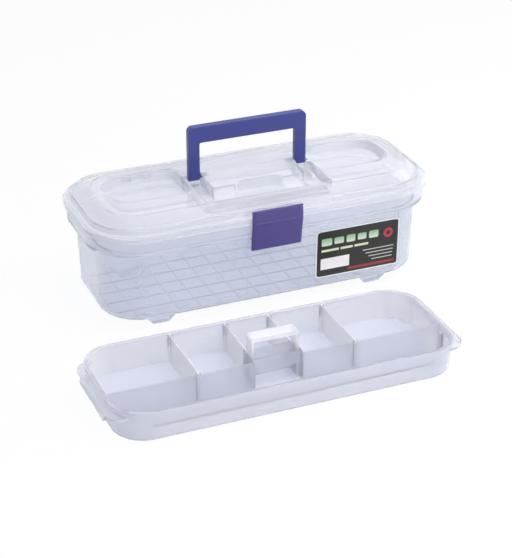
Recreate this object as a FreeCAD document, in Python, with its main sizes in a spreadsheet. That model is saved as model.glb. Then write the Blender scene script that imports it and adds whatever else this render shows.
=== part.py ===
import FreeCAD, Part
import math
import os
import re
import Sketcher
from FreeCAD import Vector

os.makedirs("parts", exist_ok=True)
doc = FreeCAD.newDocument("TackleBox")

# Every size that can be set by itself, in millimetres, degrees or counts
values = [
    # Box body
    ("lidLength", "380"), ("lidWidth", "162"), ("lidCorner", "53"),
    ("bandInsetEnd", "3.5"), ("bandInsetSide", "3"), ("bandCorner", "50"),
    ("bandHeight", "19.6"), ("bandWall", "2.2"), ("shelfWall", "2.2"),
    ("bodyInsetEnd", "12.5"), ("bodyInsetSide", "7.5"), ("bodyCorner", "45.5"),
    ("bodyHeight", "77.9"), ("bodyDraft", "1.6"),
    ("bodyWall", "2.2"), ("bodyFloor", "2.5"), ("bodyEdge", "9"),
    ("footHeight", "9.5"), ("footEndInset", "70.5"), ("footSideInset", "26"),
    ("footTopLength", "38"), ("footTopDepth", "14"), ("footTipLength", "18"), ("footTipDepth", "11"),
    ("footEdge", "2"),
    ("gridPitch", "22.2"), ("gridRib", "1.4"), ("gridHeight", "1"),
    ("gridColumns", "16"), ("gridRows", "5"),
    ("wallRibWidth", "4.6"), ("wallRibProud", "0.7"), ("wallRibFoot", "10"),
    ("wallRibEndInset", "50"), ("wallRibInner", "32"),
    # Lid
    ("lidWall", "2.2"), ("lidGap", "0.3"), ("lipHeight", "6.2"), ("crestInset", "8.1"),
    ("crestHeight", "7.3"), ("crestWidth", "2.2"), ("grooveDepth", "1.3"), ("grooveWidth", "1.2"),
    ("deckRise", "11.8"), ("deckEndSlope", "12.5"), ("deckFrontSlope", "3.5"), ("deckBackSlope", "25.5"),
    ("deckCorner", "34"), ("deckEdge", "3"),
    ("wellEndInset", "12.2"), ("wellFront", "31"), ("wellBack", "32"),
    ("wellDepth", "11"), ("wellDraft", "1"), ("wellOuterCorner", "22"), ("wellInnerCorner", "6"),
    ("recessFrontInset", "2.8"), ("recessEndGap", "3.4"), ("recessBack", "7"), ("recessDepth", "10.3"), ("recessDraft", "0.6"),
    ("recessCorner", "7"),
    ("platformRise", "1.2"), ("platformHalf", "51.5"), ("platformFront", "34.4"),
    ("platformCorner", "2"), ("notchHalf", "26.3"), ("notchInnerHalf", "19"), ("notchDepth", "7"),
    ("ridgeFront", "20"), ("ridgePeak", "4.3"), ("pivotRise", "0.7"), ("pivotRadius", "4"),
    ("stiffenerWidth", "1.4"), ("stiffenerProud", "0.9"), ("stiffenerPitch", "64.9"),
    # Handle
    ("handleThickness", "8"), ("handleLeg", "11.9"), ("handleReach", "56"), ("handleBar", "18"),
    ("handleSideGap", "2"), ("handleOuterCorner", "5.8"), ("handleInnerCorner", "2"),
    ("handleEdge", "0.8"), ("handleFootRound", "3.8"), ("handlePin", "2.5"), ("handlePinGap", "0.08"),
    ("handlePinLength", "6.8"), ("handleBoreDepth", "5.6"),
    # Latch
    ("latchWidth", "55.2"), ("latchPivotOut", "4.6"), ("latchPivotRise", "2.7"), ("latchBarrel", "2.3"),
    ("latchBarrelHalf", "18"), ("latchLugWidth", "4"), ("latchLugGap", "0.4"), ("latchPin", "1.2"),
    ("latchPinGap", "0.08"), ("latchPinLength", "4.2"), ("latchPlate", "2.5"), ("latchFaceGap", "0.8"),
    ("latchRise", "5.6"), ("latchBulge", "1.2"), ("latchCreaseDrop", "7.7"), ("latchDrop", "38.8"),
    ("latchTuck", "3.3"), ("latchGroove", "0.7"), ("latchGrooveHeight", "1.6"), ("latchBevelWidth", "4.4"),
    ("latchBevelDepth", "1.5"), ("latchEdge", "0.8"),
    ("hookGap", "0.4"), ("hookHeight", "2.6"), ("hookReach", "2"),
    # Back hinge
    ("hingeOut", "8.5"), ("hingeDrop", "6"), ("hingeBarrel", "4.2"), ("hingeSpread", "190"),
    ("knuckleWidth", "14"), ("earWidth", "8"), ("hingeSideGap", "0.4"), ("hingePin", "2"),
    ("hingePinGap", "0.08"), ("hingePinLength", "6"), ("hingeTopGap", "0.5"),
    # Tray
    ("trayShiftX", "57.7"), ("trayShiftY", "202.6"),
    ("trayLength", "353"), ("trayWidth", "134.5"), ("trayCorner", "36"), ("trayHeight", "32.4"),
    ("rimHeight", "3.5"), ("rimProud", "2.2"), ("trayDraft", "3.2"), ("trayWall", "1.8"),
    ("trayFloor", "2"), ("trayEdge", "3.5"),
    ("shelfTop", "24.5"), ("shelfPlate", "2.2"), ("shelfReach", "4.5"), ("shelfSideInset", "11.25"),
    ("shelfCorner", "15"), ("tabReach", "2.5"), ("tabNear", "44"), ("tabFar", "28"), ("tabDrop", "4.5"),
    ("tabWall", "2"), ("tabCorner", "2"),
    ("partitionFront", "18.9"), ("partitionWall", "1.8"), ("partitionHeight", "31"),
    ("housingHalf", "26.3"), ("housingBack", "7"), ("housingFront", "13.5"),
    ("nichePost", "2"), ("nicheHeight", "17"),
    ("dividerOuter", "81"), ("dividerInner", "23.3"), ("dividerWall", "1.6"), ("dividerHeight", "29.2"),
    ("dividerGap", "0.15"), ("dividerEndGap", "0.3"), ("slotRib", "1.6"), ("slotDepth", "2.4"),
    ("gripHeight", "51.5"), ("gripBar", "5.5"), ("gripLeg", "2.9"), ("gripFront", "8.5"),
    ("gripBack", "4.9"), ("gripCorner", "2.4"),
    # One overrun for every cut
    ("overrun", "3"),
]
sizes = doc.addObject("Spreadsheet::Sheet", "Sizes")
for row, (alias, figure) in enumerate(values, 1):
    sizes.set(f"A{row}", alias)
    sizes.set(f"B{row}", figure)
    sizes.setAlias(f"B{row}", alias)
doc.recompute()
aliases = {alias for alias, figure in values}


near = 0.01


def amount(text):
    return float(sizes.evalExpression(text))


def bound(text):
    return re.sub(r"[A-Za-z]\w*", lambda word: "Sizes." + word[0] if word[0] in aliases else word[0], text)


def bind(item, prop, text):
    item.setExpression(prop, bound(text))


# Levels above the ground, worked out from the sizes
bandLow = "(footHeight + bodyHeight)"
bandTop = f"({bandLow} + bandHeight)"
flangeUnder = f"({bandTop} + lidGap)"
flangeTop = f"({flangeUnder} + lidWall)"
lipLow = f"({flangeTop} - lipHeight)"
crestTop = f"({flangeTop} + crestHeight)"
grooveLow = f"({crestTop} - grooveDepth)"
deckTop = f"({grooveLow} + deckRise)"
deckUnder = f"({deckTop} - lidWall)"
wellLow = f"({deckTop} - wellDepth)"
recessLow = f"({deckTop} - recessDepth)"
platformTop = f"({deckTop} + platformRise)"
pivotLevel = f"({deckTop} + pivotRise)"
latchLevel = f"({flangeTop} + latchPivotRise)"
hingeLevel = f"({bandTop} - hingeDrop)"
floorTop = "(footHeight + bodyFloor)"

# Half lengths and half widths
lidHalf = "lidLength / 2"
lidSide = "lidWidth / 2"
bandHalf = f"({lidHalf} - bandInsetEnd)"
bandSide = f"({lidSide} - bandInsetSide)"
bodyHalf = f"({lidHalf} - bodyInsetEnd)"
bodySide = f"({lidSide} - bodyInsetSide)"
bodySlope = "(bodyHeight * tan(bodyDraft))"
crestHalf = f"({lidHalf} - crestInset)"
crestSide = f"({lidSide} - crestInset)"
crestCorner = "(lidCorner - crestInset)"
deckInset = "(crestWidth + grooveWidth)"


# Sketches with rounded corners on a plane of the body's own origin
def plane(body, role):
    return next(item for item in body.Origin.OriginFeatures if item.Role == role)


def sketch(body, name, role, corners, level="0"):
    item = body.newObject("Sketcher::SketchObject", name)
    item.AttachmentSupport = (plane(body, role), [""])
    item.MapMode = "FlatFace"
    bind(item, "AttachmentOffset.Base.z", level)
    points = [Vector(amount(x), amount(y), 0) for x, y, radius in corners]
    count = len(points)
    joints = []
    for index, (x, y, radius) in enumerate(corners):
        if radius == "0":
            joints.append((points[index], points[index], None))
            continue
        before = (points[index - 1] - points[index]).normalize()
        after = (points[(index + 1) % count] - points[index]).normalize()
        half = before.getAngle(after) / 2
        middle = points[index] + (before + after).normalize() * (amount(radius) / math.sin(half))
        run = amount(radius) / math.tan(half)
        joints.append((points[index] + before * run, points[index] + after * run, middle))
    for index in range(count):
        ahead = (index + 1) % count
        item.addGeometry(Part.LineSegment(joints[index][1], joints[ahead][0]), False)
    for index, (x, y, radius) in enumerate(corners):
        start, end, middle = joints[index]
        if middle is None:
            item.addConstraint(Sketcher.Constraint("Coincident", index - 1 if index else count - 1, 2, index, 1))
            spot = (index, 1)
        else:
            circle = Part.Circle(middle, Vector(0, 0, 1), amount(radius))
            first = math.atan2(start.y - middle.y, start.x - middle.x)
            last = math.atan2(end.y - middle.y, end.x - middle.x)
            turned = (last - first) % (2 * math.pi) > math.pi
            if turned:
                first, last = last, first
            arc = item.addGeometry(Part.ArcOfCircle(circle, first, last), False)
            corner = item.addGeometry(Part.Point(points[index]), True)
            previous = index - 1 if index else count - 1
            item.addConstraint(Sketcher.Constraint("Tangent", previous, 2, arc, 2 if turned else 1))
            item.addConstraint(Sketcher.Constraint("Tangent", index, 1, arc, 1 if turned else 2))
            item.addConstraint(Sketcher.Constraint("PointOnObject", corner, 1, previous))
            item.addConstraint(Sketcher.Constraint("PointOnObject", corner, 1, index))
            rule = item.addConstraint(Sketcher.Constraint("Radius", arc, amount(radius)))
            bind(item, f"Constraints[{rule}]", radius)
            spot = (corner, 1)
        rule = item.addConstraint(Sketcher.Constraint("DistanceX", -1, 1, *spot, points[index].x))
        bind(item, f"Constraints[{rule}]", x)
        rule = item.addConstraint(Sketcher.Constraint("DistanceY", -1, 1, *spot, points[index].y))
        bind(item, f"Constraints[{rule}]", y)
    return item


def rectangle(body, name, west, east, front, back, level, near, far=None):
    far = far or near
    corners = [(west, front, near), (east, front, near), (east, back, far), (west, back, far)]
    return sketch(body, name, "XY_Plane", corners, level)


def ring(body, name, half, side, level, radius):
    return rectangle(body, name, f"-({half})", half, f"-({side})", side, level, radius)


def circle(body, name, role, x, y, radius, level):
    item = body.newObject("Sketcher::SketchObject", name)
    item.AttachmentSupport = (plane(body, role), [""])
    item.MapMode = "FlatFace"
    bind(item, "AttachmentOffset.Base.z", level)
    middle = Vector(amount(x), amount(y), 0)
    item.addGeometry(Part.Circle(middle, Vector(0, 0, 1), amount(radius)), False)
    rules = [("Radius", 0, amount(radius), radius), ("DistanceX", -1, 1, 0, 3, middle.x, x),
             ("DistanceY", -1, 1, 0, 3, middle.y, y)]
    for *terms, text in rules:
        rule = item.addConstraint(Sketcher.Constraint(*terms))
        bind(item, f"Constraints[{rule}]", text)
    return item


# Features
def loft(body, name, low, high, cut=False):
    item = body.newObject("PartDesign::SubtractiveLoft" if cut else "PartDesign::AdditiveLoft", name)
    item.Profile = (low, [""])
    item.Sections = [(high, [""])]
    item.Ruled = True
    item.Refine = False
    return item


def pad(body, name, profile, length):
    item = body.newObject("PartDesign::Pad", name)
    item.Profile = (profile, [""])
    bind(item, "Length", length)
    item.Refine = False
    return item


def pocket(body, name, profile, length):
    item = body.newObject("PartDesign::Pocket", name)
    item.Profile = (profile, [""])
    item.Reversed = True
    bind(item, "Length", length)
    item.Refine = False
    return item


def drafted(body, name, angle):
    doc.recompute()
    base = body.Tip
    faces = list(enumerate(base.Shape.Faces, 1))
    item = body.newObject("PartDesign::Draft", name)
    item.Base = (base, [f"Face{number}" for number, face in faces if abs(face.normalAt(0, 0).z) < near])
    item.NeutralPlane = (base, [f"Face{number}" for number, face in faces if face.normalAt(0, 0).z > 1 - near])
    item.Reversed = True
    bind(item, "Angle", angle)
    return item


def rounded(body, name, keep, radius):
    doc.recompute()
    base = body.Tip
    edges = [f"Edge{number}" for number, edge in enumerate(base.Shape.Edges, 1) if keep(edge)]
    item = body.newObject("PartDesign::Fillet", name)
    item.Base = (base, edges)
    bind(item, "Radius", radius)
    return item


def mirrored(body, name, role, features):
    item = body.newObject("PartDesign::Mirrored", name)
    item.Originals = features
    item.MirrorPlane = (plane(body, role), [""])
    body.Tip = item
    item.Refine = False
    return item


def newBody(label):
    body = doc.addObject("PartDesign::Body", label)
    body.Label = label
    return body


def level(edge, text):
    box = edge.BoundBox
    return abs(box.ZMin - amount(text)) < near and abs(box.ZMax - amount(text)) < near


# Box body: drafted tub, wider band round the top, inner shelf that carries the tray
base = newBody("base_box")
pad(base, "Tub", ring(base, "TubOutline", bodyHalf, bodySide, "footHeight", "bodyCorner"), "bodyHeight")
drafted(base, "TubDraft", "bodyDraft")
loft(base, "TubHollow",
     ring(base, "HollowLow", f"{bodyHalf} - {bodySlope} - bodyWall", f"{bodySide} - {bodySlope} - bodyWall",
          floorTop, f"bodyCorner - {bodySlope} - bodyWall"),
     ring(base, "HollowHigh", f"{bodyHalf} - bodyWall", f"{bodySide} - bodyWall", bandLow, "bodyCorner - bodyWall"),
     cut=True)
rounded(base, "HollowEdge", lambda edge: level(edge, floorTop), "bodyEdge - bodyWall")
rounded(base, "TubEdge", lambda edge: level(edge, "footHeight"), "bodyEdge")
pad(base, "Band", ring(base, "BandOutline", bandHalf, bandSide, bandLow, "bandCorner"), "bandHeight")

# Vertical ribs on the front wall
for name, place in (("Outer", f"({lidHalf} - wallRibEndInset)"), ("Inner", "wallRibInner")):
    low = rectangle(base, f"Rib{name}Low", f"{place} - wallRibWidth / 2", f"{place} + wallRibWidth / 2",
                    f"-({bodySide} - {bodySlope} + wallRibProud)",
                    f"-({bodySide} - {bodySlope} - bodyWall / 2)", "footHeight + wallRibFoot", "0")
    high = rectangle(base, f"Rib{name}High", f"{place} - wallRibWidth / 2", f"{place} + wallRibWidth / 2",
                     f"-({bodySide} + wallRibProud)", f"-({bodySide} - bodyWall / 2)", bandLow, "0")
    rib = loft(base, f"Rib{name}", low, high)
    mirrored(base, f"Rib{name}Pair", "YZ_Plane", [rib])

# Four tapered feet
footX = f"({lidHalf} - footEndInset)"
footY = f"({lidSide} - footSideInset)"
low = rectangle(base, "FootLow", f"{footX} - footTipLength / 2", f"{footX} + footTipLength / 2",
                f"-({footY} + footTipDepth / 2)", f"-({footY} - footTipDepth / 2)", "0", "footEdge")
high = rectangle(base, "FootHigh", f"{footX} - footTopLength / 2", f"{footX} + footTopLength / 2",
                 f"-({footY} + footTopDepth / 2)", f"-({footY} - footTopDepth / 2)", "footHeight + bodyFloor / 2",
                 "footEdge")
foot = loft(base, "Foot", low, high)
feet = base.newObject("PartDesign::MultiTransform", "Feet")
across = base.newObject("PartDesign::Mirrored", "FeetAcross")
across.MirrorPlane = (plane(base, "YZ_Plane"), [""])
along = base.newObject("PartDesign::Mirrored", "FeetAlong")
along.MirrorPlane = (plane(base, "XZ_Plane"), [""])
feet.Refine = False
feet.Originals = [foot]
feet.Transformations = [across, along]
base.Tip = feet

# Opening through the shelf, and the wider hollow above it
pocket(base, "ShelfHollow", ring(base, "ShelfHollowOutline", f"{bodyHalf} - bodyWall", f"{bodySide} - bodyWall",
                                 bandLow, "bodyCorner - bodyWall"), "shelfWall")
pocket(base, "BandHollow", ring(base, "BandHollowOutline", f"{bandHalf} - bandWall", f"{bandSide} - bandWall",
                                f"{bandLow} + shelfWall", "bandCorner - bandWall"), "bandHeight")

# Hinge ears on the back of the band: a web under the lip and a barrel with a through bore
hingeY = f"({bandSide} + hingeOut)"
earIn = "(knuckleWidth / 2 + hingeSideGap)"
for side, start in (("In", f"hingeSpread / 2 - {earIn} - earWidth"), ("Out", f"hingeSpread / 2 + {earIn}")):
    web = pad(base, f"EarWeb{side}", sketch(base, f"EarWeb{side}Outline", "YZ_Plane", [
        (f"{bandSide} - bandWall / 2", f"{hingeLevel} - hingeBarrel", "0"),
        (hingeY, f"{hingeLevel} - hingeBarrel", "0"),
        (hingeY, f"{lipLow} - hingeTopGap", "0"),
        (f"{bandSide} - bandWall / 2", f"{lipLow} - hingeTopGap", "0")], start), "earWidth")
    barrel = pad(base, f"EarBarrel{side}", circle(base, f"EarBarrel{side}Outline", "YZ_Plane", hingeY, hingeLevel,
                                                  "hingeBarrel", start), "earWidth")
    bore = pocket(base, f"EarBore{side}", circle(base, f"EarBore{side}Outline", "YZ_Plane", hingeY, hingeLevel,
                                                 "hingePin + hingePinGap", f"{start} - overrun / 3"),
                  "earWidth + overrun * 2 / 3")
    mirrored(base, f"Ears{side}", "YZ_Plane", [web, barrel, bore])

# Lid: lip, skirt with a raised rim, and the deck that rises inside it
lid = newBody("lid")
pad(lid, "Lip", ring(lid, "LipOutline", lidHalf, lidSide, lipLow, "lidCorner"), "lipHeight")
pad(lid, "Skirt", ring(lid, "SkirtOutline", crestHalf, crestSide, lipLow, crestCorner), "lipHeight + crestHeight")
pocket(lid, "Groove", ring(lid, "GrooveOutline", f"{crestHalf} - crestWidth", f"{crestSide} - crestWidth",
                           grooveLow, f"{crestCorner} - crestWidth"), "grooveDepth + overrun")
deckHalf = f"({crestHalf} - {deckInset})"
deckSide = f"({crestSide} - {deckInset})"


def deckLow(name, inset, height):
    return rectangle(lid, name, f"-({deckHalf} - {inset})", f"{deckHalf} - {inset}", f"-({deckSide} - {inset})",
                     deckSide, height, f"{crestCorner} - {deckInset}")


def deckHigh(name, inset, height):
    return rectangle(lid, name, f"-({deckHalf} - deckEndSlope - {inset})", f"{deckHalf} - deckEndSlope - {inset}",
                     f"-({deckSide} - deckFrontSlope - {inset})", f"{deckSide} - deckBackSlope", height,
                     "deckCorner")


loft(lid, "Deck", deckLow("DeckLow", "0", grooveLow), deckHigh("DeckHigh", "0", deckTop))
rounded(lid, "DeckEdge", lambda edge: level(edge, deckTop), "deckEdge")

# Hollow below: channel for the band, skirt and deck
pocket(lid, "LipHollow", ring(lid, "LipHollowOutline", f"{lidHalf} - lidWall", f"{lidSide} - lidWall", lipLow,
                              "lidCorner - lidWall"), "lipHeight - lidWall")
pocket(lid, "SkirtHollow", ring(lid, "SkirtHollowOutline", f"{crestHalf} - lidWall", f"{crestSide} - lidWall",
                                lipLow, f"{crestCorner} - lidWall"), "lipHeight + crestHeight - grooveDepth - lidWall")
loft(lid, "DeckHollow", deckLow("DeckHollowLow", "lidWall", f"{grooveLow} - lidWall"),
     deckHigh("DeckHollowHigh", "lidWall", deckUnder), cut=True)


# Two wells and the handle recess: first their walls below the deck, then the hollows
recessHalf = "(platformHalf + handleSideGap + handleLeg + recessEndGap)"
recessFront = f"({deckSide} - deckFrontSlope - recessFrontInset)"
wellInner = f"({recessHalf} + lidWall)"
wellOuter = f"({deckHalf} - deckEndSlope - wellEndInset)"


def well(name, grow, low, high, cut):
    def outline(part, extra, height):
        outer = f"wellOuterCorner + {extra}"
        inner = f"wellInnerCorner + {extra}"
        return sketch(lid, f"{name}{part}", "XY_Plane", [
            (f"{wellInner} - {extra}", f"-(wellFront + {extra})", inner),
            (f"{wellOuter} + {extra}", f"-(wellFront + {extra})", outer),
            (f"{wellOuter} + {extra}", f"wellBack + {extra}", outer),
            (f"{wellInner} - {extra}", f"wellBack + {extra}", inner)], height)
    one = loft(lid, name, outline("Low", f"({grow} - wellDraft)", low), outline("High", grow, high), cut)
    return mirrored(lid, f"{name}Pair", "YZ_Plane", [one])


def recess(name, grow, low, high, cut):
    def outline(part, extra, height):
        return rectangle(lid, f"{name}{part}", f"-({recessHalf} + {extra})", f"{recessHalf} + {extra}",
                         f"-({recessFront} + {extra})", f"recessBack + {extra}", height, f"recessCorner + {extra}")
    return loft(lid, name, outline("Low", f"({grow} - recessDraft)", low), outline("High", grow, high), cut)


well("WellCup", "lidWall", f"{wellLow} - lidWall", f"{deckTop} - lidWall / 2", False)
recess("RecessCup", "lidWall", f"{recessLow} - lidWall", f"{deckTop} - lidWall / 2", False)
well("Well", "0", wellLow, deckTop, True)
recess("Recess", "0", recessLow, deckTop, True)


# Platform for the fingers inside the recess, hollow below, with a notch in its front
def platform(name, inset, height):
    return sketch(lid, name, "XY_Plane", [
        (f"-(platformHalf - {inset})", f"-(platformFront - {inset})", "platformCorner"),
        (f"-(notchHalf + {inset} / 2)", f"-(platformFront - {inset})", "platformCorner"),
        (f"-(notchInnerHalf + {inset} / 2)", f"-(platformFront - notchDepth - {inset})", "platformCorner"),
        (f"notchInnerHalf + {inset} / 2", f"-(platformFront - notchDepth - {inset})", "platformCorner"),
        (f"notchHalf + {inset} / 2", f"-(platformFront - {inset})", "platformCorner"),
        (f"platformHalf - {inset}", f"-(platformFront - {inset})", "platformCorner"),
        (f"platformHalf - {inset}", f"recessBack - {inset} + lidWall / 2", "0"),
        (f"-(platformHalf - {inset})", f"recessBack - {inset} + lidWall / 2", "0")], height)


pad(lid, "Platform", platform("PlatformOutline", "0", f"{recessLow} - lidWall / 2"),
    "recessDepth + platformRise + lidWall / 2")
pocket(lid, "PlatformHollow", platform("PlatformHollowOutline", "lidWall", f"{recessLow} - lidWall - overrun"),
       "recessDepth + platformRise + overrun")

# Ridge at the back of the platform, which carries the handle's pivots
pad(lid, "Ridge", sketch(lid, "RidgeOutline", "YZ_Plane", [
    ("-ridgeFront", f"{platformTop} - lidWall / 2", "0"),
    ("pivotRadius", f"{platformTop} - lidWall / 2", "0"),
    ("pivotRadius", f"{platformTop} + ridgePeak", "pivotRadius"),
    ("-ridgeFront", platformTop, "0")], "-platformHalf"), "platformHalf * 2")
boss = pad(lid, "PivotBoss", circle(lid, "PivotBossOutline", "YZ_Plane", "0", pivotLevel, "pivotRadius",
                                    "platformHalf - handleBoreDepth - lidWall"), "handleBoreDepth + lidWall")
bore = pocket(lid, "PivotBore", circle(lid, "PivotBoreOutline", "YZ_Plane", "0", pivotLevel,
                                       "handlePin + handlePinGap", "platformHalf - handleBoreDepth"),
              "handleBoreDepth + overrun")
mirrored(lid, "PivotPair", "YZ_Plane", [boss, bore])

# Lugs that carry the latch, on the lip in front of the skirt
latchY = f"({crestSide} + latchPivotOut)"
lugIn = "(latchBarrelHalf + latchLugGap)"
lug = pad(lid, "LatchLug", sketch(lid, "LatchLugOutline", "YZ_Plane", [
    (f"-({crestSide} - lidWall / 2)", f"{flangeTop} - lidWall / 2", "0"),
    (f"-({crestSide} - lidWall / 2)", f"{latchLevel} + latchPin", "0"),
    (f"-({latchY} - latchBarrel)", f"{latchLevel} + latchBarrel", "0"),
    (f"-({latchY} + latchBarrel)", f"{latchLevel} + latchBarrel", "latchBarrel"),
    (f"-({latchY} + latchBarrel)", f"{flangeTop} - lidWall / 2", "0")], lugIn), "latchLugWidth")
lugBore = pocket(lid, "LatchBore", circle(lid, "LatchBoreOutline", "YZ_Plane", f"-{latchY}", latchLevel,
                                          "latchPin + latchPinGap", f"{lugIn} - latchLugGap / 2"),
                 "latchLugWidth + latchLugGap")
mirrored(lid, "LatchLugs", "YZ_Plane", [lug, lugBore])

# Hinge knuckles on the back of the lip, with a stub pin to each side
web = pad(lid, "KnuckleWeb", sketch(lid, "KnuckleWebOutline", "YZ_Plane", [
    (f"{lidSide} - lidWall / 2", f"{hingeLevel} + hingeBarrel / 2", "0"),
    (hingeY, hingeLevel, "0"),
    (f"{hingeY} + hingeBarrel", hingeLevel, "0"),
    (f"{hingeY} + hingeBarrel", f"{hingeLevel} + hingeBarrel", "hingeBarrel / 2"),
    (f"{lidSide} - lidWall / 2", f"{flangeTop} - lidWall / 2", "0")],
    "(hingeSpread - knuckleWidth) / 2"), "knuckleWidth")
barrel = pad(lid, "Knuckle", circle(lid, "KnuckleOutline", "YZ_Plane", hingeY, hingeLevel, "hingeBarrel",
                                    "(hingeSpread - knuckleWidth) / 2"), "knuckleWidth")
pin = pad(lid, "HingePin", circle(lid, "HingePinOutline", "YZ_Plane", hingeY, hingeLevel, "hingePin",
                                  "(hingeSpread - knuckleWidth) / 2 - hingeSideGap - hingePinLength"),
          "knuckleWidth + (hingeSideGap + hingePinLength) * 2")
mirrored(lid, "Knuckles", "YZ_Plane", [web, barrel, pin])

# Small stiffeners on the skirt above the lip
for number in (1, 2):
    place = f"stiffenerPitch * {number}"
    one = pad(lid, f"Stiffener{number}", rectangle(
        lid, f"Stiffener{number}Outline", f"{place} - stiffenerWidth / 2", f"{place} + stiffenerWidth / 2",
        f"-({crestSide} + stiffenerProud)", f"-({crestSide} - lidWall / 2)", f"{flangeTop} - lidWall / 2", "0"),
        "crestHeight - grooveDepth + lidWall / 2")
    mirrored(lid, f"Stiffener{number}Pair", "YZ_Plane", [one])

# Carry handle: flat bow with two stub pins that point inwards
handle = newBody("carry_handle")
legIn = "(platformHalf + handleSideGap)"
legOut = f"({legIn} + handleLeg)"
gripTop = f"({pivotLevel} + handleReach)"
footLow = f"({pivotLevel} - handleThickness / 2)"
pad(handle, "Bow", sketch(handle, "BowOutline", "XZ_Plane", [
    (f"-{legOut}", footLow, "0"), (f"-{legIn}", footLow, "0"),
    (f"-{legIn}", f"{gripTop} - handleBar", "handleInnerCorner"),
    (legIn, f"{gripTop} - handleBar", "handleInnerCorner"),
    (legIn, footLow, "0"), (legOut, footLow, "0"),
    (legOut, gripTop, "handleOuterCorner"), (f"-{legOut}", gripTop, "handleOuterCorner")],
    "-handleThickness / 2"), "handleThickness")
rounded(handle, "BowFeet", lambda edge: level(edge, footLow) and edge.BoundBox.XLength > near, "handleFootRound")


def bowRim(edge):
    box = edge.BoundBox
    flat = abs(box.YMax - box.YMin) < near
    return flat and box.ZMin > amount(f"{footLow} + handleThickness / 2") and box.ZMax > amount(f"{gripTop} - handleBar")


rounded(handle, "BowEdge", bowRim, "handleEdge")
one = pad(handle, "HandlePin", circle(handle, "HandlePinOutline", "YZ_Plane", "0", pivotLevel, "handlePin",
                                      f"{legIn} - handlePinLength"), "handlePinLength + handleLeg / 2")
mirrored(handle, "HandlePins", "YZ_Plane", [one])

# Front latch: bevelled plate with a groove across, a hook under the band, and a barrel between the lugs
latch = newBody("front_latch")
plateIn = f"({lidSide} + latchFaceGap)"
plateOut = f"({plateIn} + latchPlate)"
plateTop = f"({latchLevel} + latchRise)"
plateLow = f"({latchLevel} - latchDrop)"
creaseOut = f"({plateOut} + latchBulge)"
creaseLow = f"({latchLevel} - latchCreaseDrop)"
hookTop = f"({bandLow} - hookGap)"
hookRoot = f"({plateIn} - latchTuck * 2 / 3)"
pad(latch, "Plate", sketch(latch, "PlateOutline", "YZ_Plane", [
    (f"-{plateIn}", plateTop, "0"),
    (f"-{plateOut}", plateTop, "latchEdge"),
    (f"-{creaseOut}", f"{creaseLow} + latchGrooveHeight", "0"),
    (f"-({creaseOut} - latchGroove)", f"{creaseLow} + latchGrooveHeight / 2", "0"),
    (f"-{creaseOut}", creaseLow, "0"),
    (f"-({plateOut} - latchTuck)", plateLow, "latchEdge"),
    (f"-({plateIn} - latchTuck)", plateLow, "latchEdge"),
    (f"-{hookRoot}", f"{hookTop} - hookHeight", "0"),
    (f"-({bandSide} - hookReach)", f"{hookTop} - hookHeight / 2", "0"),
    (f"-({bandSide} - hookReach)", hookTop, "0"),
    (f"-{hookRoot}", hookTop, "0"),
    (f"-{plateIn}", f"{lipLow} - latchFaceGap", "0")], "-latchWidth / 2"), "latchWidth")


def bevel(name, out, height):
    wide = "(latchWidth / 2 + latchBevelWidth / 2)"
    return sketch(latch, name, "XY_Plane", [
        (f"latchWidth / 2 - latchBevelWidth * 3 / 2", f"-({out} + latchBevelDepth / 2)", "0"),
        (wide, f"-({out} + latchBevelDepth / 2)", "0"),
        (wide, f"-({out} - latchBevelDepth * 3 / 2)", "0")], height)


upper = loft(latch, "UpperBevel", bevel("BevelTop", plateOut, plateTop),
             bevel("BevelMiddle", creaseOut, creaseLow), cut=True)
lower = loft(latch, "LowerBevel", bevel("BevelCrease", creaseOut, creaseLow),
             bevel("BevelLow", f"({plateOut} - latchTuck)", plateLow), cut=True)
mirrored(latch, "Bevels", "YZ_Plane", [upper, lower])
pad(latch, "LatchWeb", sketch(latch, "LatchWebOutline", "YZ_Plane", [
    (f"-{latchY}", latchLevel, "0"), (f"-{latchY}", f"{latchLevel} + latchBarrel", "0"),
    (f"-({plateIn} + latchPlate / 2)", f"{latchLevel} + latchBarrel", "0"),
    (f"-({plateIn} + latchPlate / 2)", latchLevel, "0")], "-latchBarrelHalf"), "latchBarrelHalf * 2")
pad(latch, "LatchBarrel", circle(latch, "LatchBarrelOutline", "YZ_Plane", f"-{latchY}", latchLevel, "latchBarrel",
                                 "-latchBarrelHalf"), "latchBarrelHalf * 2")
pad(latch, "LatchPin", circle(latch, "LatchPinOutline", "YZ_Plane", f"-{latchY}", latchLevel, "latchPin",
                              "-(latchBarrelHalf + latchPinLength)"), "(latchBarrelHalf + latchPinLength) * 2")

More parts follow.
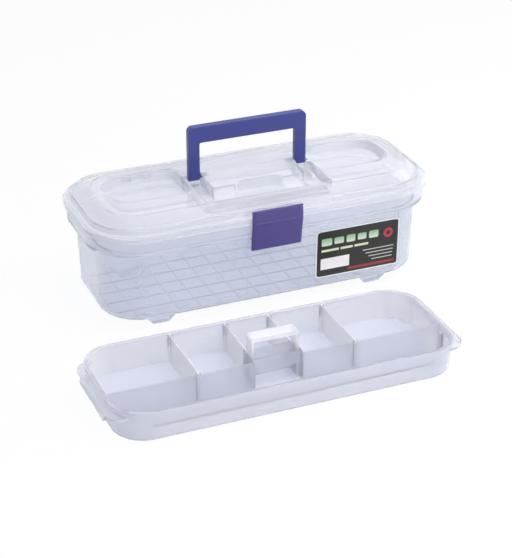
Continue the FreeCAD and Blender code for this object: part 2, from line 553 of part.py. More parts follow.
# Tray: drafted tub with a rim, end shelves with tabs that hang on the box's inner shelf
tray = newBody("tray")
trayHalf = "trayLength / 2"
traySide = "trayWidth / 2"
rimLow = "(trayHeight - rimHeight)"
traySlope = f"({rimLow} * tan(trayDraft))"
pad(tray, "TrayForm", ring(tray, "TrayOutline", f"{trayHalf} - rimProud", f"{traySide} - rimProud", "0",
                           "trayCorner - rimProud"), rimLow)
drafted(tray, "TrayDraft", "trayDraft")
rounded(tray, "TrayEdge", lambda edge: level(edge, "0"), "trayEdge")
pad(tray, "Rim", ring(tray, "RimOutline", trayHalf, traySide, rimLow, "trayCorner"), "rimHeight")
shelfLow = "(shelfTop - shelfPlate)"
shelfHalf = f"({trayHalf} + shelfReach)"
shelfSide = f"({traySide} - shelfSideInset)"
for side, sign in (("East", ""), ("West", "-")):
    inner = f"{sign}({trayHalf} - trayCorner)"
    outer = f"{sign}{shelfHalf}"
    corners = [(inner, f"-{shelfSide}", "0"), (outer, f"-{shelfSide}", "shelfCorner"),
               (outer, shelfSide, "shelfCorner"), (inner, shelfSide, "0")]
    pad(tray, f"Shelf{side}", sketch(tray, f"Shelf{side}Outline", "XY_Plane", corners, shelfLow), "shelfPlate")
    inner = f"{sign}({shelfHalf} - tabWall)"
    outer = f"{sign}({shelfHalf} + tabReach)"
    corners = [(inner, "-tabNear", "0"), (outer, "-tabNear", "tabCorner"), (outer, "tabFar", "tabCorner"),
               (inner, "tabFar", "0")]
    pad(tray, f"Tab{side}", sketch(tray, f"Tab{side}Outline", "XY_Plane", corners, "shelfTop - tabDrop"), "tabDrop")
loft(tray, "TrayHollow",
     ring(tray, "TrayHollowLow", f"{trayHalf} - rimProud - {traySlope} - trayWall",
          f"{traySide} - rimProud - {traySlope} - trayWall", "trayFloor",
          f"trayCorner - rimProud - {traySlope} - trayWall"),
     ring(tray, "TrayHollowHigh", f"{trayHalf} - rimProud - trayWall", f"{traySide} - rimProud - trayWall",
          "trayHeight", "trayCorner - rimProud - trayWall"), cut=True)

# Fixed long partition, stepped back in the middle round the grip's housing
innerHalf = f"({trayHalf} - rimProud - {traySlope} - trayWall)"
innerSide = f"({traySide} - rimProud - {traySlope} - trayWall)"
partLow = "trayFloor / 2"
partRise = "partitionHeight - trayFloor / 2"
partitionEast = pad(tray, "Partition", rectangle(
    tray, "PartitionOutline", "housingHalf - partitionWall", f"{innerHalf} + trayWall / 2", "-partitionFront",
    "-(partitionFront - partitionWall)", partLow, "0"), partRise)
housing = pad(tray, "HousingSide", rectangle(
    tray, "HousingSideOutline", "housingHalf - partitionWall", "housingHalf", "-partitionFront", "housingBack",
    partLow, "0"), partRise)
post = pad(tray, "SlotPost", rectangle(
    tray, "SlotPostOutline", "dividerOuter - slotRib - dividerWall", "dividerOuter + slotRib + dividerWall",
    "-(partitionFront + slotRib)", "-(partitionFront - partitionWall / 2)", partLow, "0"), partRise)
mirrored(tray, "PartitionPair", "YZ_Plane", [partitionEast, housing, post])
pad(tray, "HousingBack", rectangle(
    tray, "HousingBackOutline", "-(housingHalf - partitionWall / 2)", "housingHalf - partitionWall / 2",
    "housingBack - partitionWall", "housingBack", partLow, "0"), partRise)
pad(tray, "HousingFront", sketch(tray, "HousingFrontOutline", "XZ_Plane", [
    ("-(housingHalf - partitionWall / 2)", "trayFloor / 2", "0"),
    ("-(housingHalf - partitionWall - nichePost)", "trayFloor / 2", "0"),
    ("-(housingHalf - partitionWall - nichePost)", "nicheHeight", "0"),
    ("housingHalf - partitionWall - nichePost", "nicheHeight", "0"),
    ("housingHalf - partitionWall - nichePost", "trayFloor / 2", "0"),
    ("housingHalf - partitionWall / 2", "trayFloor / 2", "0"),
    ("housingHalf - partitionWall / 2", "partitionHeight", "0"),
    ("-(housingHalf - partitionWall / 2)", "partitionHeight", "0")], "housingFront - partitionWall"), "partitionWall")

# Slots that hold the four dividers: rib pairs on the back wall, the partition and the housing
slotSide = "(dividerWall / 2 + dividerGap)"
for name, middle, foot in (("Outer", "dividerOuter", "-(partitionFront - partitionWall / 2)"),
                           ("Inner", "dividerInner", "housingBack - partitionWall / 2")):
    ribs = []
    for edge, start in (("West", f"{middle} - {slotSide} - slotRib"), ("East", f"{middle} + {slotSide}")):
        wall = "partitionFront" if name == "Outer" else "housingBack"
        front = "-(partitionFront - partitionWall) + slotDepth" if name == "Outer" else "housingBack + slotDepth"
        ribs.append(pad(tray, f"Slot{name}Near{edge}", rectangle(
            tray, f"Slot{name}Near{edge}Outline", start, f"{start} + slotRib", foot, front, partLow, "0"), partRise))
        ribs.append(pad(tray, f"Slot{name}Far{edge}", rectangle(
            tray, f"Slot{name}Far{edge}Outline", start, f"{start} + slotRib", f"{innerSide} - slotDepth",
            f"{innerSide} + trayWall / 2", partLow, "0"), partRise))
    mirrored(tray, f"Slot{name}Pair", "YZ_Plane", ribs)

# Grip of the tray: an arch that stands in the housing
grip = newBody("tray_grip")
gripHalf = "(housingHalf - partitionWall)"
pad(grip, "Arch", sketch(grip, "ArchOutline", "XZ_Plane", [
    (f"-{gripHalf}", "trayFloor", "0"), (f"-({gripHalf} - gripLeg)", "trayFloor", "0"),
    (f"-({gripHalf} - gripLeg)", "gripHeight - gripBar", "gripCorner / 2"),
    (f"{gripHalf} - gripLeg", "gripHeight - gripBar", "gripCorner / 2"),
    (f"{gripHalf} - gripLeg", "trayFloor", "0"), (gripHalf, "trayFloor", "0"),
    (gripHalf, "gripHeight", "gripCorner"), (f"-{gripHalf}", "gripHeight", "gripCorner")],
    "-gripBack"), "gripBack + gripFront")


# Four cross dividers, each with its back edge drafted like the tray's wall
def divider(number, place, front):
    body = newBody(f"tray_divider_{number}")
    lean = f"({traySlope} * dividerHeight / (trayHeight - trayFloor))"
    pad(body, f"Divider{number}", sketch(body, f"Divider{number}Outline", "YZ_Plane", [
        (front, "trayFloor", "0"),
        (f"{innerSide} - dividerEndGap", "trayFloor", "0"),
        (f"{innerSide} - dividerEndGap + {lean}", "trayFloor + dividerHeight", "0"),
        (front, "trayFloor + dividerHeight", "0")], f"{place} - dividerWall / 2"), "dividerWall")
    return body


partitionBack = "-(partitionFront - partitionWall) + dividerEndGap"
dividers = [divider(1, "-dividerOuter", partitionBack),
            divider(2, "-dividerInner", "housingBack + dividerEndGap"),
            divider(3, "dividerInner", "housingBack + dividerEndGap"),
            divider(4, "dividerOuter", partitionBack)]

# The tray stands on the ground in front of the box, and the middle of both is the origin
middleX = f"((trayShiftX + {shelfHalf} + tabReach - lidLength / 2) / 2)"
middleY = f"((trayShiftY + trayWidth / 2 - {hingeY} - hingeBarrel) / 2)"
boxBodies = [base, lid, handle, latch]
trayBodies = [tray, grip] + dividers


def place(item, x, y):
    bind(item, "Placement.Base.x", x)
    bind(item, "Placement.Base.y", y)


for body in boxBodies:
    place(body, middleX, middleY)
for body in trayBodies:
    place(body, f"{middleX} - trayShiftX", f"{middleY} - trayShiftY")
for body in [base, lid, handle, latch, tray, grip] + dividers:
    body.Tip.Refine = True
doc.recompute()

# Grid of low ribs on the floor inside the box, cut to the floor's outline
floorHalf = amount(f"{bodyHalf} - {bodySlope} - bodyEdge")
floorSide = amount(f"{bodySide} - {bodySlope} - bodyEdge")
floorCorner = amount(f"bodyCorner - {bodySlope} - bodyEdge")
pitch = amount("gridPitch")
rib = amount("gridRib")
lowest = amount(f"{floorTop} - bodyFloor / 2")
rise = amount("gridHeight + bodyFloor / 2")
bars = []
for number in range(int(amount("gridColumns"))):
    x = (number - (amount("gridColumns") - 1) / 2) * pitch
    bars.append(Part.makeBox(rib, floorSide * 2, rise, Vector(x - rib / 2, -floorSide, lowest)))
for number in range(int(amount("gridRows"))):
    y = (number - (amount("gridRows") - 1) / 2) * pitch
    bars.append(Part.makeBox(floorHalf * 2, rib, rise, Vector(-floorHalf, y - rib / 2, lowest)))
blank = Part.makeBox(floorHalf * 2, floorSide * 2, rise, Vector(-floorHalf, -floorSide, lowest))
upright = [edge for edge in blank.Edges if abs(edge.BoundBox.ZLength - rise) < near]
blank = blank.makeFillet(floorCorner, upright)
grid = doc.addObject("Part::Feature", "FloorGrid")
grid.Shape = bars[0].multiFuse(bars[1:]).common(blank).removeSplitter()
place(grid, middleX, middleY)
whole = doc.addObject("Part::Fuse", "BoxWithGrid")
whole.Base = base
whole.Tool = grid
doc.recompute()
base.Label = "base_box_shell"
whole.Label = "base_box"

# Check every object before anything is written
faults = [item.Name for item in doc.Objects if set(item.State) & {"Invalid", "Error"}]
for item in doc.Objects:
    if item.isDerivedFrom("PartDesign::Feature") and item.BaseFeature:
        share = item.Shape.Volume / item.BaseFeature.Shape.Volume - 1
        cuts = item.TypeId in ("PartDesign::Pocket", "PartDesign::SubtractiveLoft")
        adds = item.TypeId in ("PartDesign::Pad", "PartDesign::AdditiveLoft")
        if cuts and share >= 0 or adds and share <= 0 or abs(share) > 0.1 and item.TypeId == "PartDesign::Fillet":
            faults.append(f"{item.Name} changes the volume by a share of {share:.4f}")
pieces = [whole, lid, handle, latch, tray, grip] + dividers
for piece in pieces:
    shape = piece.Shape
    if shape.isNull() or not shape.isValid() or len(shape.Solids) != 1:
        faults.append(f"{piece.Label} is not one valid solid")
if faults:
    raise RuntimeError("; ".join(faults))
for piece in pieces:
    piece.Shape.exportStep(f"parts/{piece.Label}.step")
    box = piece.Shape.BoundBox
    print(f"{piece.Label}: volume {piece.Shape.Volume:.0f}, X {box.XMin:.1f} to {box.XMax:.1f}, "
          f"Y {box.YMin:.1f} to {box.YMax:.1f}, Z {box.ZMin:.1f} to {box.ZMax:.1f}")
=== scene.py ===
import bpy, bmesh
from math import radians, pi
from mathutils import Vector, Matrix
from mathutils.kdtree import KDTree


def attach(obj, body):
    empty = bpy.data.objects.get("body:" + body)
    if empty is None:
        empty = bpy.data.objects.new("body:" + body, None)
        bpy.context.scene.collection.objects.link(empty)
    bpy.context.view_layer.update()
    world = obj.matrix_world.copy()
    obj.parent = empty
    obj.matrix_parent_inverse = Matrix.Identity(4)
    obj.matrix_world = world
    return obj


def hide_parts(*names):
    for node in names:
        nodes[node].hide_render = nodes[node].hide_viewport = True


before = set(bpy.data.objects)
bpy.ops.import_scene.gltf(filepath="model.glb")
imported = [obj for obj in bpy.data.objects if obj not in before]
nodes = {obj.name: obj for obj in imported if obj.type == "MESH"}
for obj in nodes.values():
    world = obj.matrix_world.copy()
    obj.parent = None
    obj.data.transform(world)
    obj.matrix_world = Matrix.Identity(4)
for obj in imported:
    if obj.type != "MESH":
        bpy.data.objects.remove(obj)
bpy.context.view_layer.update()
scene = bpy.context.scene
millimetre = 0.001
boxMiddle = Vector((0.0256, 0.089575, 0.0))   # middle of the box on the ground


# A shader socket that can be used in plain sums
class Wire:
    def __init__(self, finish, socket):
        self.finish, self.socket = finish, socket

    def maths(self, operation, first, second):
        return self.finish.node("ShaderNodeMath", {"operation": operation}, first, second)

    def __add__(self, other):
        return self.maths("ADD", self, other)

    def __radd__(self, other):
        return self.maths("ADD", other, self)

    def __sub__(self, other):
        return self.maths("SUBTRACT", self, other)

    def __rsub__(self, other):
        return self.maths("SUBTRACT", other, self)

    def __mul__(self, other):
        return self.maths("MULTIPLY", self, other)

    def __pow__(self, other):
        return self.maths("POWER", self, other)

    def __abs__(self):
        return self.maths("ABSOLUTE", self, 0.0)

    def most(self, other):
        return self.maths("MAXIMUM", self, other)

    def out(self, name):
        return Wire(self.finish, self.socket.node.outputs[name])


# The node tree of a material or world
class Finish:
    def __init__(self, owner, ending="ShaderNodeOutputMaterial"):
        self.owner = owner
        owner.use_nodes = True
        self.tree = owner.node_tree
        self.tree.nodes.clear()
        self.end = self.tree.nodes.new(ending)

    def feed(self, made, place, value):
        if isinstance(value, Wire):
            self.tree.links.new(value.socket, made.inputs[place])
        elif value is not None:
            made.inputs[place].default_value = value

    def node(self, kind, settings=None, *given, **named):
        made = self.tree.nodes.new(kind)
        for name, value in (settings or {}).items():
            setattr(made, name, value)
        for place, value in enumerate(given):
            self.feed(made, place, value)
        for name, value in named.items():
            self.feed(made, name.replace("_", " "), value)
        return Wire(self, next(s for s in made.outputs if s.enabled))

    def blend(self, share, under, over):
        made = self.tree.nodes.new("ShaderNodeMix")
        made.data_type = "RGBA"
        for place, value in ((0, share), (6, under), (7, over)):   # the factor and the two colours
            self.feed(made, place, value)
        return Wire(self, made.outputs[2])

    def place(self, shift=(0, 0, 0)):
        spot = self.node("ShaderNodeTexCoord").out("Object")
        return self.node("ShaderNodeMapping", None, spot, shift)

    def noise(self, spot, scale, detail):
        return self.node("ShaderNodeTexNoise", None, spot, Scale=scale, Detail=detail)

    def finishWith(self, shader):
        self.tree.links.new(shader.socket, self.end.inputs["Surface"])
        return self.owner


def rgb(red, green, blue):   # a picture's 0 to 255 figures as the shader's linear colour
    def linear(part):
        part = part / 255
        return part / 12.92 if part <= 0.04045 else ((part + 0.055) / 1.055) ** 2.4
    return (linear(red), linear(green), linear(blue), 1.0)


def newMaterial(name):
    return Finish(bpy.data.materials.new(name))


def clearPlastic(name, settings):
    made = newMaterial(name)
    haze = made.noise(made.place(), settings["hazeScale"], settings["hazeDetail"])
    # Painted sheen: the tone turns whiter towards grazing angles, by the Layer Weight's facing
    edge = made.node("ShaderNodeLayerWeight", None, Blend=settings["grazingSheenBlend"]).out("Facing")
    tone = made.blend(haze * settings["hazeShare"], settings["tint"], settings["hazeTint"])
    tone = made.blend(edge ** settings["grazingSheenPower"] * settings["grazingSheenShare"], tone, settings["grazingSheenTint"])
    plastic = made.node("ShaderNodeBsdfPrincipled", None, Base_Color=tone,
                        Roughness=settings["roughness"] + haze * settings["roughnessSpread"],
                        IOR=settings["bending"], Transmission_Weight=settings["clearness"])
    lamp = made.node("ShaderNodeLightPath").out("Is Shadow Ray")
    through = made.node("ShaderNodeBsdfTransparent", None, settings["lampTint"])
    return made.finishWith(made.node("ShaderNodeMixShader", None, lamp, plastic, through))


def colouredPlastic(name, settings):
    made = newMaterial(name)
    spot = made.place()
    grain = made.noise(spot, settings["grainScale"], settings["detail"])
    cloud = made.noise(spot, settings["cloudScale"], settings["detail"])
    # Painted sheen: the tone turns lighter towards grazing angles, by the Layer Weight's facing
    edge = made.node("ShaderNodeLayerWeight", None, Blend=settings["sheenBlend"]).out("Facing")
    tone = made.blend(cloud * settings["cloudShare"], settings["colour"], settings["deepColour"])
    tone = made.blend(edge ** settings["sheenPower"] * settings["sheenShare"], tone, settings["sheenColour"])
    skin = made.node("ShaderNodeBump", None, Strength=settings["grain"], Distance=settings["grainDepth"],
                     Height=grain)
    plastic = made.node("ShaderNodeBsdfPrincipled", None, Base_Color=tone,
                        Roughness=settings["roughness"] + grain * settings["roughnessSpread"],
                        IOR=settings["bending"], Normal=skin)
    return made.finishWith(plastic.out("BSDF"))


# Clear plastic: lampTint is what a lamp's light keeps on its way through
shellSettings = {
    "tint": rgb(235, 237, 243), "lampTint": rgb(230, 232, 238), "clearness": 0.8, "bending": 1.22,
    "hazeTint": rgb(226, 229, 237), "hazeShare": 0.5, "hazeScale": 14.0, "hazeDetail": 4.0,
    # painted sheen: a whiter tone at grazing angles
    "grazingSheenTint": rgb(246, 248, 253), "grazingSheenShare": 0.4, "grazingSheenBlend": 0.35, "grazingSheenPower": 3.0,
    "roughness": 0.015, "roughnessSpread": 0.03,
}
# Painted light: the lid's tint is lighter than the box's, for the top light falling on the lid
lidSettings = dict(shellSettings, tint=rgb(241, 242, 246), hazeTint=rgb(232, 234, 241), clearness=0.76,
                   lampTint=rgb(250, 251, 253))
# Painted shade: the tray's tint is darker than the box's, for the shade inside the tray
traySettings = dict(shellSettings, tint=rgb(232, 233, 239), hazeTint=rgb(222, 224, 232), clearness=0.72,
                    lampTint=rgb(226, 229, 236))
milkSettings = dict(shellSettings, tint=rgb(248, 248, 251), hazeTint=rgb(243, 244, 248), clearness=0.5,
                    roughness=0.14, lampTint=rgb(244, 245, 248))
# Whitish edge finish: painted highlight, nearly opaque and white where clear plastic shows bright edges
edgeHighlightSettings = dict(shellSettings, tint=rgb(253, 253, 254), hazeTint=rgb(250, 251, 253), clearness=0.12,
                   roughness=0.22, lampTint=rgb(250, 250, 252))

# Coloured plastic of the handle and the latch
handleSettings = {
    "colour": rgb(58, 66, 140), "deepColour": rgb(46, 52, 124), "cloudShare": 0.5, "cloudScale": 20.0,
    "sheenColour": rgb(110, 116, 190), "sheenShare": 0.6, "sheenBlend": 0.3, "sheenPower": 4.0,
    "grain": 0.25, "grainScale": 1400.0, "grainDepth": 0.0002, "detail": 3.0,
    "roughness": 0.33, "roughnessSpread": 0.08, "bending": 1.49,
}
latchSettings = dict(handleSettings, colour=rgb(80, 70, 136), deepColour=rgb(68, 57, 124),
                     sheenColour=rgb(140, 128, 190))

shellFinish = clearPlastic("clearBoxPlastic", shellSettings)
lidFinish = clearPlastic("clearLidPlastic", lidSettings)
trayFinish = clearPlastic("clearTrayPlastic", traySettings)
milkFinish = clearPlastic("milkyDividerPlastic", milkSettings)
edgeHighlightFinish = clearPlastic("edgeHighlightPlastic", edgeHighlightSettings)
handleFinish = colouredPlastic("blueHandlePlastic", handleSettings)
latchFinish = colouredPlastic("violetLatchPlastic", latchSettings)
print("finishes made")


# Moulded pieces: edge is the rounding of crisp edges, tight the widest fillet or wall end that looks whitish
# and strip the whitish border of flat faces, all in millimetres; the second finish is for edges, a painted
# highlight
mouldedPieces = {
    "boxShell": {"node": "base_box", "body": "box", "slot": "clear_plastic",
                 "finishes": (shellFinish, edgeHighlightFinish), "edge": 0.4, "tight": 2.6, "strip": 0.6},
    "lidShell": {"node": "lid", "body": "lid_body", "slot": "clear_plastic",
                 "finishes": (lidFinish, edgeHighlightFinish), "edge": 0.4, "tight": 2.6, "strip": 0},
    "carryHandle": {"node": "carry_handle", "body": "handle_body", "slot": "blue_plastic",
                    "finishes": (handleFinish, handleFinish), "edge": 0.3, "tight": 0, "strip": 0},
    "frontLatch": {"node": "front_latch", "body": "latch_body", "slot": "violet_plastic",
                   "finishes": (latchFinish, latchFinish), "edge": 0.25, "tight": 0, "strip": 0},
    "liftOutTray": {"node": "tray", "body": "tray_body", "slot": "clear_plastic",
                    "finishes": (trayFinish, edgeHighlightFinish), "edge": 0.4, "tight": 2.6, "strip": 0},
    "trayGrip": {"node": "tray_grip", "body": "tray_body", "slot": "milky_plastic",
                 "finishes": (milkFinish, edgeHighlightFinish), "edge": 0.35, "tight": 2.0, "strip": 0},
}
for number, side in enumerate(("FarLeft", "Left", "Right", "FarRight"), start=1):
    mouldedPieces["divider" + side] = {
        "node": f"tray_divider_{number}", "body": f"divider_body_{number}", "slot": "milky_plastic",
        "finishes": (milkFinish, edgeHighlightFinish), "edge": 0.3, "tight": 2.0, "strip": 0}

# Angles in degrees between neighbouring faces; widths as shares of the piece's own edge, tight or strip
rounding = {
    "smoothBelow": 52, "evenWeight": 80, "seamAngle": 20, "filletFrom": 3, "filletTo": 50,
    "crispPlain": 32, "crispClear": 50, "foldAngle": 145, "retries": 5, "segments": 2,
    "leastWidth": 1.5, "foldReach": 3, "stripFrom": 1.5, "longestCorner": 1.5, "flatness": 0.9995,
    "turnedOver": 0.9, "sliver": 0.02, "sameSpot": 1e-6, "sameSpotAfter": 2e-6,
}


def bend(edge):   # angle between the two faces at an edge
    return edge.calc_face_angle(0) if edge.is_manifold else 0


def widthAt(face, edge):   # of a slim face, measured away from one of its edges
    return 2 * face.calc_area() / max(edge.calc_length(), 1e-9)


def intoScene(name, mesh, finishes, body, slot, smoothBelow=rounding["smoothBelow"]):
    mesh.materials.clear()
    for finish in finishes:
        mesh.materials.append(finish)
    piece = bpy.data.objects.new(name, mesh)
    scene.collection.objects.link(piece)
    mesh.shade_smooth()
    mesh.set_sharp_from_angle(angle=radians(smoothBelow))
    even = piece.modifiers.new("evenNormals", "WEIGHTED_NORMAL")   # flat faces stay flat beside rounded edges
    even.keep_sharp, even.weight = True, rounding["evenWeight"]
    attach(piece, body)
    return piece


def smoothRegions(work):   # groups of faces that no crisp edge parts, with each group's mean width
    seen = set()
    for start in work.faces:
        if start in seen:
            continue
        region, rim, area, outline = [start], [start], 0.0, 0.0
        seen.add(start)
        while rim:
            face = rim.pop()
            area += face.calc_area()
            for edge in face.edges:
                if edge.is_manifold and edge.calc_face_angle(0) < radians(rounding["seamAngle"]):
                    for other in edge.link_faces:
                        if other not in seen:
                            seen.add(other)
                            region.append(other)
                            rim.append(other)
                else:
                    outline += edge.calc_length()
        yield region, (2 * area / outline if outline else 1.0)


# Painted highlight: the whitish strip stands in for the bright border of a clear flat face
def borderStrip(work, region, strip):   # a whitish strip along the border of a flat group of faces
    facing = [face.normal.copy() for face in region]
    strips = bmesh.ops.inset_region(work, faces=region, thickness=strip, use_boundary=True,
                                    use_even_offset=True)["faces"]
    inner = {v for face in region for v in face.verts}
    foot = {}
    for face in strips:
        face.material_index = 1
        for edge in face.edges:
            moved = [v for v in edge.verts if v in inner]
            if len(moved) == 1:
                foot[moved[0]] = edge.other_vert(moved[0]).co.copy()
    longest = rounding["longestCorner"] * strip
    for v, start in foot.items():   # a pointed corner must not shoot inwards
        if (v.co - start).length > longest:
            v.co = start + (v.co - start).normalized() * longest
    for face in region:
        face.normal_update()
    likeness = min(old.dot(face.normal) for old, face in zip(facing, region))
    if likeness < rounding["turnedOver"]:   # too slim for a strip
        for v, start in foot.items():
            v.co = start + (v.co - start) * rounding["sliver"]


# Clear plastic looks whitish at its edges, small fillets and thin wall ends; the whitish finish there is
# painted highlight
def whitenEdges(work, tight, strip):
    for edge in work.edges:
        turn = bend(edge)
        if not radians(rounding["filletFrom"]) < turn < radians(rounding["filletTo"]):
            continue
        across = [widthAt(face, edge) for face in edge.link_faces]
        if sum(across) / 2 / turn < tight:
            for face, width in zip(edge.link_faces, across):
                if width < tight:
                    face.material_index = 1
    for region, width in list(smoothRegions(work)):
        if width < tight:
            for face in region:
                face.material_index = 1
        elif strip and width > rounding["stripFrom"] * tight and min(
                region[0].normal.dot(face.normal) for face in region) > rounding["flatness"]:
            borderStrip(work, region, strip)


def rounded(whole, crisp, edge):   # a copy of the mesh with these edges rounded
    work = whole.copy()
    work.edges.ensure_lookup_table()
    rounds = bmesh.ops.bevel(work, geom=[work.edges[i] for i in crisp], offset=edge, offset_type="OFFSET",
                             affect="EDGES", segments=rounding["segments"], profile=0.5, material=-1,
                             clamp_overlap=False, loop_slide=True)["faces"]
    # the rounded edges get the whitish finish, a painted highlight
    for face in rounds:
        face.material_index = 1
    return work


def softened(mesh, edge, tight, strip):   # merges the loose triangles and rounds the crisp edges
    whole = bmesh.new()
    whole.from_mesh(mesh)
    bmesh.ops.remove_doubles(whole, verts=whole.verts, dist=rounding["sameSpot"])
    for face in whole.faces:
        face.material_index = 0
    if tight:
        whitenEdges(whole, tight, strip)
    whole.edges.ensure_lookup_table()
    whole.edges.index_update()
    crispAngle = radians(rounding["crispClear"] if tight else rounding["crispPlain"])
    leastWidth = rounding["leastWidth"] * edge
    crisp = [e.index for e in whole.edges if e.is_manifold and e.calc_face_angle(0) > crispAngle
             and min(2 * face.calc_area() for face in e.link_faces) > leastWidth * e.calc_length()]
    work = rounded(whole, crisp, edge)
    for retry in range(rounding["retries"]):   # edges whose rounding folds a slim face over stay as they are
        folds = [v.co.copy() for e in work.edges if bend(e) > radians(rounding["foldAngle"]) for v in e.verts]
        tree = KDTree(max(len(folds), 1))
        for number, spot in enumerate(folds):
            tree.insert(spot, number)
        tree.balance()
        reach = rounding["foldReach"] * edge
        sound = [i for i in crisp if not folds
                 or min(tree.find(v.co)[2] for v in whole.edges[i].verts) > reach]
        if len(sound) == len(crisp):
            break
        crisp = sound
        work.free()
        work = rounded(whole, crisp, edge)
    bmesh.ops.dissolve_degenerate(work, dist=rounding["sameSpotAfter"], edges=work.edges)
    made = bpy.data.meshes.new("softened")
    work.to_mesh(made)
    work.free()
    whole.free()
    return made


pieces = {}
for name, entry in mouldedPieces.items():
    edge, tight, strip = (entry[key] * millimetre for key in ("edge", "tight", "strip"))
    mesh = softened(nodes[entry["node"]].data, edge, tight, strip)
    piece = intoScene(name, mesh, entry["finishes"], entry["body"], entry["slot"])
    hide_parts(entry["node"])
    pieces[name] = piece
print("moulded pieces made")


# Front sticker: a plain dark one, laid on the wall. Its blocks, dashes and bars are placed in millimetres
# from its middle: across, up, width, height
sticker = {
    "left": 47.7, "right": 143.9, "low": 22.7, "high": 77.3, "corner": 4.5, "cornerSteps": 6,
    "thickness": 0.2, "lift": 0.05, "uprightCuts": 48, "smoothBelow": 50,
    "border": 2.2, "fieldCorner": 3.6, "soft": 0.25, "borderTone": rgb(236, 238, 240),
    "fieldTone": rgb(28, 26, 24),
    "blocks": ((-36, 13.5, 12, 8.5), (-22, 13.5, 11, 7.5), (-8.5, 13.5, 10, 8.5), (4.5, 13.5, 10, 7.5),
               (18, 13.5, 11, 8.5)),
    "blockCorner": 1.6, "blockLow": rgb(232, 240, 226), "blockHigh": rgb(98, 158, 92), "blockFade": (6.0, 20.0),
    "ring": (35, 12.0, 11, 11), "ringCorner": 5.4, "ringTone": rgb(178, 40, 58),
    "ringHole": (35, 12.0, 5, 5), "holeCorner": 2.4, "holeTone": rgb(34, 33, 30),
    "dashes": ((-32, 3.6, 20, 2.6), (-13, 3.6, 14, 2.6), (4, 3.6, 16, 2.6)),
    "dashCorner": 0.6, "dashTone": rgb(216, 222, 190),
    "rules": ((24, -4.0, 36, 1.0), (25.5, -8.0, 32, 1.0), (27, -12.0, 28, 1.0), (28.5, -16.0, 24, 1.0)),
    "ruleCorner": 0.4, "ruleTone": rgb(196, 198, 190),
    "panel": (-26, -12.0, 33, 13), "panelCorner": 0.8, "panelTone": rgb(236, 232, 232),
    "bar": (16, -22.0, 54, 3.0), "barCorner": 0.6, "barTone": rgb(150, 40, 46),
    "speckScale": 900.0, "speckDetail": 2.0, "speckStrength": 0.1, "speckDepth": 0.0001,
    "roughness": 0.28, "roughnessSpread": 0.08, "bending": 1.46, "coat": 0.25, "coatRoughness": 0.12,
}


def stickerFinish(sizes):
    made = newMaterial("stickerPrint")
    middleX, middleZ = (sizes["left"] + sizes["right"]) / 2, (sizes["low"] + sizes["high"]) / 2
    spot = made.place((-boxMiddle.x - middleX * millimetre, 0, -middleZ * millimetre))
    parts = made.node("ShaderNodeSeparateXYZ", None, spot)
    across, up = parts.out("X") * 1000.0, parts.out("Z") * 1000.0   # metres to millimetres
    soft = sizes["soft"]

    def panel(place, corner):   # 1 inside a rounded panel
        x, z, width, height = place
        outX = (abs(across - x) - (width / 2 - corner)).most(0.0)
        outZ = (abs(up - z) - (height / 2 - corner)).most(0.0)
        away = (outX * outX + outZ * outZ) ** 0.5
        return made.node("ShaderNodeMapRange", {"interpolation_type": "SMOOTHSTEP"}, away,
                         corner - soft, corner + soft, 1.0, 0.0)

    wide, tall = sizes["right"] - sizes["left"], sizes["high"] - sizes["low"]
    field = panel((0, 0, wide - sizes["border"], tall - sizes["border"]), sizes["fieldCorner"])
    tone = made.blend(field, sizes["borderTone"], sizes["fieldTone"])
    fade = made.node("ShaderNodeMapRange", None, up, *sizes["blockFade"], 0.0, 1.0)
    green = made.blend(fade, sizes["blockLow"], sizes["blockHigh"])
    for places, corner, colour in (
            (sizes["blocks"], sizes["blockCorner"], green),
            ((sizes["ring"],), sizes["ringCorner"], sizes["ringTone"]),
            ((sizes["ringHole"],), sizes["holeCorner"], sizes["holeTone"]),
            (sizes["dashes"], sizes["dashCorner"], sizes["dashTone"]),
            (sizes["rules"], sizes["ruleCorner"], sizes["ruleTone"]),
            ((sizes["panel"],), sizes["panelCorner"], sizes["panelTone"]),
            ((sizes["bar"],), sizes["barCorner"], sizes["barTone"])):
        for place in places:
            tone = made.blend(panel(place, corner), tone, colour)
    speck = made.noise(made.place(), sizes["speckScale"], sizes["speckDetail"])
    coat = made.node("ShaderNodeBump", None, Strength=sizes["speckStrength"], Distance=sizes["speckDepth"],
                     Height=speck)
    paper = made.node("ShaderNodeBsdfPrincipled", None, Base_Color=tone,
                      Roughness=sizes["roughness"] + speck * sizes["roughnessSpread"], IOR=sizes["bending"],
                      Coat_Weight=sizes["coat"], Coat_Roughness=sizes["coatRoughness"], Normal=coat)
    return made.finishWith(paper.out("BSDF"))


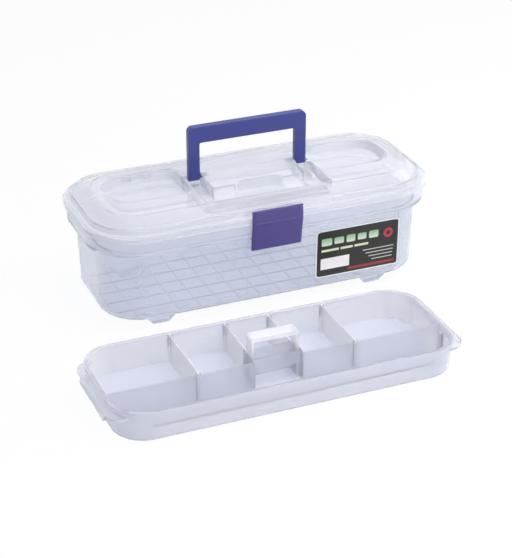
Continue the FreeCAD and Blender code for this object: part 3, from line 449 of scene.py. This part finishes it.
def madeSticker(sizes):
    wall = pieces["boxShell"]
    bpy.context.view_layer.update()
    wide, tall = (sizes["right"] - sizes["left"]) * millimetre, (sizes["high"] - sizes["low"]) * millimetre
    work = bmesh.new()
    bmesh.ops.create_grid(work, x_segments=1, y_segments=1, size=0.5)
    bmesh.ops.scale(work, vec=(wide, tall, 1), verts=work.verts)
    bmesh.ops.bevel(work, geom=work.verts[:], offset=sizes["corner"] * millimetre, offset_type="OFFSET",
                    affect="VERTICES", segments=sizes["cornerSteps"], profile=0.5, material=-1)
    half = sizes["uprightCuts"] // 2
    cuts = [((step * wide / sizes["uprightCuts"], 0, 0), (1, 0, 0)) for step in range(1 - half, half)]
    for place, normal in cuts + [((0, 0, 0), (0, 1, 0))]:   # so that it can follow the wall's bend
        bmesh.ops.bisect_plane(work, geom=work.verts[:] + work.edges[:] + work.faces[:],
                               dist=rounding["sameSpot"], plane_co=place, plane_no=normal)
    bmesh.ops.rotate(work, matrix=Matrix.Rotation(pi / 2, 3, "X"), verts=work.verts)
    middleX, middleZ = (sizes["left"] + sizes["right"]) / 2, (sizes["low"] + sizes["high"]) / 2
    inFront = -0.2   # metres, where the rays towards the wall start
    middle = boxMiddle + Vector((middleX * millimetre, inFront, middleZ * millimetre))
    bmesh.ops.translate(work, vec=middle, verts=work.verts)
    for vert in work.verts:   # onto the wall
        spot, normal = wall.ray_cast(vert.co, Vector((0, 1, 0)))[1:3]
        vert.co = spot + normal * (sizes["lift"] + sizes["thickness"]) * millimetre
    bmesh.ops.recalc_face_normals(work, faces=work.faces)
    if sum(face.normal.y for face in work.faces) > 0:
        bmesh.ops.reverse_faces(work, faces=work.faces)
    bmesh.ops.solidify(work, geom=work.faces[:], thickness=sizes["thickness"] * millimetre)
    mesh = bpy.data.meshes.new("frontSticker")
    work.to_mesh(mesh)
    work.free()
    finishes = (stickerFinish(sizes),)
    return intoScene("frontSticker", mesh, finishes, "box", "clear_plastic", sizes["smoothBelow"])


madeSticker(sticker)
print("sticker made")


# Studio: the floor and the world shine plain white for what the camera sees, and light the object softly
studio = {
    "cameraPlace": (-0.5616, -1.3499, 0.8073), "cameraTurn": (62.482, 0.0, -22.543), "lens": 104.6,
    "sensor": 36.0, "farthest": 60.0, "worldStrength": 0.62, "white": (1, 1, 1, 1),
    "floorTone": rgb(246, 246, 248), "floorThrough": 0.15, "floorGlow": 0.88, "floorHalf": 8.0,
    "floorDrop": 0.0002, "lampAim": (0.0, 0.0, 0.05),
    "lamps": {   # place, size and power
        "topSoftbox": ((0.4, -0.35, 1.5), (1.1, 0.9), 9.5),
        "frontSoftbox": ((0.6, -1.7, 0.9), (0.9, 0.6), 8.0),
        "sideSoftbox": ((1.6, -0.3, 0.8), (0.6, 0.9), 8.0),
    },
}


def madeCamera(settings):
    eye = bpy.data.cameras.new("studioCamera")
    eye.lens, eye.sensor_width, eye.clip_end = settings["lens"], settings["sensor"], settings["farthest"]
    camera = bpy.data.objects.new("studioCamera", eye)
    camera.location = settings["cameraPlace"]
    camera.rotation_euler = [radians(a) for a in settings["cameraTurn"]]
    scene.collection.objects.link(camera)
    scene.camera = camera


def madeFloor(settings):
    work = bmesh.new()
    bmesh.ops.create_grid(work, x_segments=1, y_segments=1, size=settings["floorHalf"])
    mesh = bpy.data.meshes.new("studioFloor")
    work.to_mesh(mesh)
    work.free()
    floor = bpy.data.objects.new("studioFloor", mesh)
    scene.collection.objects.link(floor)
    ground = newMaterial("studioFloorPaper")
    seen = ground.node("ShaderNodeLightPath")
    through = seen.out("Is Transmission Ray")
    mirrored = seen.out("Is Glossy Ray") * (1.0 - through)   # a bent ray counts as glossy too
    direct = seen.out("Is Camera Ray").most(mirrored)
    paper = ground.node("ShaderNodeBsdfDiffuse", None, settings["floorTone"])
    glow = ground.node("ShaderNodeEmission", None, settings["white"], 1.0)
    share = direct.most(through * settings["floorThrough"])
    mesh.materials.append(ground.finishWith(
        ground.node("ShaderNodeMixShader", None, share * settings["floorGlow"], paper, glow)))
    floor.location.z = -settings["floorDrop"]


def madeWorld(settings):
    sky = Finish(bpy.data.worlds.new("studioWorld"), "ShaderNodeOutputWorld")
    seen = sky.node("ShaderNodeLightPath")
    direct = seen.out("Is Camera Ray").most(seen.out("Is Transmission Ray")).most(seen.out("Is Glossy Ray"))
    soft = sky.node("ShaderNodeBackground", None, settings["white"], settings["worldStrength"])
    plain = sky.node("ShaderNodeBackground", None, settings["white"], 1.0)
    scene.world = sky.finishWith(sky.node("ShaderNodeMixShader", None, direct, soft, plain))


def madeLamps(settings):
    for name, (place, size, power) in settings["lamps"].items():
        lamp = bpy.data.lights.new(name, "AREA")
        lamp.shape, lamp.size, lamp.size_y, lamp.energy = "RECTANGLE", size[0], size[1], power
        light = bpy.data.objects.new(name, lamp)
        light.location = place
        towards = Vector(settings["lampAim"]) - Vector(place)
        light.rotation_euler = towards.to_track_quat("-Z", "Y").to_euler()
        scene.collection.objects.link(light)


madeCamera(studio)
madeFloor(studio)
madeWorld(studio)
madeLamps(studio)
scene.view_settings.view_transform = "Standard"
print("studio made")
